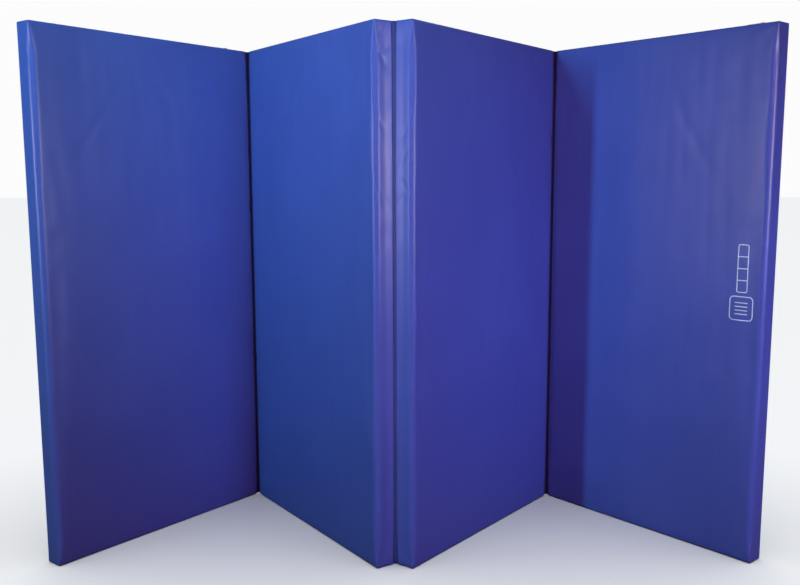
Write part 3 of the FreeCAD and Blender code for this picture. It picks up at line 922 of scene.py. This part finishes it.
class Finish:
    """A material in the making: its shader, and patterns in the object's own space to drive it."""

    def __init__(self, name):
        self.material = bpy.data.materials.new(name)
        self.material.use_nodes = True
        self.nodes = self.material.node_tree.nodes
        self.links = self.material.node_tree.links
        self.shader = self.nodes["Principled BSDF"]
        self.place = self.nodes.new("ShaderNodeTexCoord").outputs["Object"]

    def fill(self, node, **inputs):
        """Sets or links a node's inputs. Their names have _ for a space."""
        for name, value in inputs.items():
            socket = node.inputs[name.replace("_", " ")]
            if isinstance(value, bpy.types.NodeSocket):
                self.links.new(value, socket)
            else:
                socket.default_value = value
        return node

    def add(self, kind, **inputs):
        return self.fill(self.nodes.new(kind), **inputs)

    def noise(self, scale, detail):
        return self.add("ShaderNodeTexNoise", Vector=self.place, Scale=scale, Detail=detail).outputs["Fac"]

    def slubs(self, counts):
        """Noise drawn out along the direction with the smallest count per metre."""
        drawn = self.add("ShaderNodeMapping", Vector=self.place, Scale=counts).outputs["Vector"]
        return self.add("ShaderNodeTexNoise", Vector=drawn, Scale=1.0, Detail=3.0).outputs["Fac"]

    def ribs(self, scale, distortion):
        wave = self.add("ShaderNodeTexWave", Vector=self.place, Scale=scale, Distortion=distortion)
        wave.bands_direction = "DIAGONAL"
        return wave.outputs["Fac"]

    def mixed(self, one, other, share):
        """Two patterns' heights together, with the other's share."""
        return self.add("ShaderNodeMix", Factor=share, A=one, B=other).outputs["Result"]

    def tint(self, height, dark, light, start=0.0, end=1.0):
        """Colours the shader between two tones as a pattern's height goes from start to end."""
        ramp = self.add("ShaderNodeValToRGB", Fac=height)
        for element, position, colour in zip(ramp.color_ramp.elements, (start, end), (dark, light)):
            element.position = position
            element.color = (*colour, 1)
        self.fill(self.shader, Base_Color=ramp.outputs["Color"])

    def roughen(self, height, smoothest, roughest):
        """Varies the shader's roughness by a pattern's height."""
        span = self.add("ShaderNodeMapRange", Value=height, To_Min=smoothest, To_Max=roughest)
        self.fill(self.shader, Roughness=span.outputs["Result"])

    def emboss(self, *reliefs):
        """Gives the shader reliefs, one over another: each a pattern's height, a depth and a strength."""
        under = {}
        for height, depth, strength in reliefs:
            relief = self.add("ShaderNodeBump", Height=height, Distance=depth, Strength=strength, **under)
            under = {"Normal": relief.outputs["Normal"]}
        self.fill(self.shader, **under)


def vinyl(name, deep, bright, smoothest):
    """Blue PVC-coated cloth: a fine grain over a slubby weave, faintly uneven in colour and gloss."""
    finish = Finish(name)
    finish.fill(finish.shader, Coat_Weight=0.12, Coat_Roughness=0.32)
    finish.tint(finish.mixed(finish.noise(5.0, 3.0), finish.slubs((90, 90, 5)), 0.4), deep, bright, 0.3, 0.7)
    finish.roughen(finish.noise(14.0, 4.0), smoothest, smoothest + 0.1)
    weave = finish.mixed(finish.slubs((60, 60, 4)), finish.slubs((5, 5, 75)), 0.5)
    grain = finish.add("ShaderNodeTexVoronoi", Vector=finish.place, Scale=900).outputs["Distance"]
    finish.emboss((weave, 0.5 * MM, 0.6), (grain, 0.05 * MM, 0.25))
    return finish.material


def thread():
    """Twisted polyester thread."""
    finish = Finish("thread")
    finish.fill(finish.shader, Roughness=0.6, Sheen_Weight=0.3)
    finish.tint(finish.ribs(420, 0), (0.018, 0.045, 0.20), (0.045, 0.10, 0.36))
    return finish.material


def tape_cloth():
    """The zip's ribbed tape."""
    finish = Finish("zip_tape")
    finish.fill(finish.shader, Roughness=0.85, Sheen_Weight=0.4)
    weave = finish.ribs(260, 1.5)
    finish.tint(weave, (0.010, 0.020, 0.075), (0.028, 0.050, 0.16))
    finish.emboss((weave, 0.15 * MM, 0.6))
    return finish.material


def coil_plastic():
    """The coil's smooth drawn plastic."""
    finish = Finish("zip_coil")
    finish.fill(finish.shader, Roughness=0.32)
    finish.tint(finish.noise(60, 3), (0.016, 0.030, 0.13), (0.030, 0.055, 0.20))
    return finish.material


def plated_metal():
    """Nickel-plated die-cast metal, scuffed by handling."""
    finish = Finish("zip_metal")
    finish.fill(finish.shader, Metallic=1.0)
    scuffs = finish.noise(700, 5)
    finish.tint(scuffs, (0.42, 0.42, 0.43), (0.62, 0.62, 0.64))
    finish.roughen(scuffs, 0.18, 0.42)
    finish.emboss((scuffs, 0.03 * MM, 0.4))
    return finish.material


def print_ink():
    """White screen-print ink, a little thin in places."""
    finish = Finish("print_ink")
    finish.fill(finish.shader, Roughness=0.55)
    finish.tint(finish.noise(350, 4), (0.55, 0.58, 0.72), (0.86, 0.87, 0.90))
    return finish.material


# ---------------- stage

def area_light(name, place, target, size, watts, colour, spread=180):
    light = bpy.data.lights.new(name, "AREA")
    light.shape = "RECTANGLE"
    light.size, light.size_y = size
    light.energy = watts
    light.color = colour
    light.spread = math.radians(spread)
    lamp = bpy.data.objects.new(name, light)
    lamp.location = place
    lamp.rotation_euler = (Vector(target) - Vector(place)).to_track_quat("-Z", "Y").to_euler()
    bpy.context.scene.collection.objects.link(lamp)
    return lamp


def sun_light(name, strength, angle):
    light = bpy.data.lights.new(name, "SUN")
    light.energy = strength
    light.angle = math.radians(angle)
    lamp = bpy.data.objects.new(name, light)
    bpy.context.scene.collection.objects.link(lamp)
    return lamp


def link_light(lamp, ground, state):
    """Lights only the ground (INCLUDE) or everything else (EXCLUDE)."""
    lit = bpy.data.collections.new(f"{lamp.name}_lit")
    lit.objects.link(ground)
    lamp.light_linking.receiver_collection = lit
    lit.collection_objects[0].light_linking.link_state = state


def lights(ground):
    """Six coloured lights that shade the cloth, two that only gleam on it, and a wash on the ground."""
    matt = [
        area_light("key_light", (-2.15, -1.90, 1.75), (0, 0, 1.3), (0.10, 1.1), 20, (0.22, 0.91, 1.0), 100),
        area_light("low_light", (1.9, -2.6, 0.9), (0.35, 0, 0.55), (0.8, 0.6), 6.2, (0.34, 0.56, 1.0), 50),
        area_light("left_panel_light", (1.0, -2.3, 2.5), (-0.85, 0.1, 1.25), (0.6, 0.6), 3.2,
                   (0.05, 1.0, 0.97), 40),
        area_light("middle_light", (-1.2, -2.3, 2.4), (-0.1, -0.1, 1.2), (0.6, 0.6), 2.2,
                   (0.72, 0.73, 1.0), 45),
        area_light("red_light", (0.8, -2.9, 1.5), (0.1, 0, 0.6), (1.4, 1.4), 33, (1.0, 0.05, 0.05)),
        area_light("rear_light", (0.6, 3.6, 2.6), (0, 0, 0.7), (2.4, 1.6), 210, (0.62, 0.92, 1.0)),
    ]
    warm = (1.0, 0.84, 0.80)
    gloss = [
        area_light("left_shine", (-2.2, -1.35, 0.97), (0, -0.2, 0.97), (0.3, 0.46), 12, warm),
        area_light("right_shine", (1.9, -1.75, 0.97), (0, -0.2, 0.97), (0.3, 0.46), 17, warm),
    ]
    for lamp in matt:
        lamp.visible_glossy = False
    for lamp in gloss:
        lamp.visible_diffuse = False
    for lamp in matt + gloss:
        link_light(lamp, ground, "EXCLUDE")
    link_light(sun_light("ground_wash", 3.0, 70), ground, "INCLUDE")


def studio():
    """A pale surround for the camera, and a dimmer one that lights the mat."""
    world = bpy.data.worlds.new("studio")
    world.use_nodes = True
    dim = world.node_tree.nodes["Background"]
    dim.inputs["Color"].default_value = (0.62, 0.92, 1.0, 1)
    dim.inputs["Strength"].default_value = 0.07
    pale = world.node_tree.nodes.new("ShaderNodeBackground")
    pale.inputs["Color"].default_value = (0.975, 0.975, 0.98, 1)
    camera_switch(world.node_tree, dim, pale, "World Output")
    bpy.context.scene.world = world


def camera_switch(tree, others, seen, output):
    """Shows the camera one shader directly, and gives light that bounces another."""
    path = tree.nodes.new("ShaderNodeLightPath")
    mix = tree.nodes.new("ShaderNodeMixShader")
    tree.links.new(path.outputs["Is Camera Ray"], mix.inputs["Fac"])
    tree.links.new(others.outputs[0], mix.inputs[1])
    tree.links.new(seen.outputs[0], mix.inputs[2])
    tree.links.new(mix.outputs["Shader"], tree.nodes[output].inputs["Surface"])


def floor():
    """A plain pale floor that throws little light back up at the mat."""
    finish = Finish("floor")
    finish.fill(finish.shader, Base_Color=(0.90, 0.90, 0.91, 1), Roughness=0.9, Specular_IOR_Level=0.1)
    dark = finish.add("ShaderNodeBsdfDiffuse", Color=(0.10, 0.09, 0.12, 1))
    camera_switch(finish.material.node_tree, dark, finish.shader, "Material Output")
    reach = FLOOR_REACH
    corners = [(-reach, -reach, -MM), (reach, -reach, -MM), (reach, reach, -MM), (-reach, reach, -MM)]
    ground = mesh_object("floor", corners, [(0, 1, 2, 3)])
    ground.data.materials.append(finish.material)
    return ground


def camera():
    lens = bpy.data.cameras.new("camera")
    lens.lens = CAMERA_LENS
    lens.sensor_width = 36
    lens.shift_x, lens.shift_y = CAMERA_SHIFT
    eye = bpy.data.objects.new("camera", lens)
    eye.location = CAMERA_PLACE
    eye.rotation_euler = (math.radians(90 - CAMERA_DOWN), 0, math.radians(CAMERA_TURN))
    bpy.context.scene.collection.objects.link(eye)
    bpy.context.scene.camera = eye


# ---------------- the scene

bpy.context.scene.view_settings.view_transform = "Standard"
camera()
studio()
lights(floor())
blue = vinyl("vinyl", (0.062, 0.078, 0.325), (0.073, 0.090, 0.365), 0.33)
# A near-black copy of the vinyl for the webs in the valley folds: painted shade for the crevice between two
# panels.
valley_shade_blue = vinyl("valley_shade_vinyl", (0.018, 0.010, 0.050), (0.024, 0.014, 0.070), 0.62)
# A darkened copy of the vinyl for the web in the ridge fold: painted shade for the gap between the ridge's
# two walls.
ridge_shade_blue = vinyl("ridge_shade_vinyl", (0.032, 0.034, 0.14), (0.040, 0.042, 0.17), 0.5)
yarn, tape, coil, metal, ink = thread(), tape_cloth(), coil_plastic(), plated_metal(), print_ink()
panels = [Panel(number) for number in range(1, PANEL_COUNT + 1)]
for panel in panels:
    skin = cover(panel, blue)
    panel_thread(skin, yarn)
    for side in ("front", "back"):
        zip_tape(panel, side, tape)
        zip_coil(panel, side, coil)
    for part in ("zip_stops", "zip_slider", "zip_pull"):
        dress(f"{part}_{panel.number}", metal)
printed_mark(skin, ink)
# Each hinge web wears one of the darkened vinyl copies, painted shade in its fold.
for number, (left, right) in enumerate(zip(panels, panels[1:]), start=1):
    hinge_web(number, left, right, ridge_shade_blue if number == RIDGE_FOLD else valley_shade_blue)
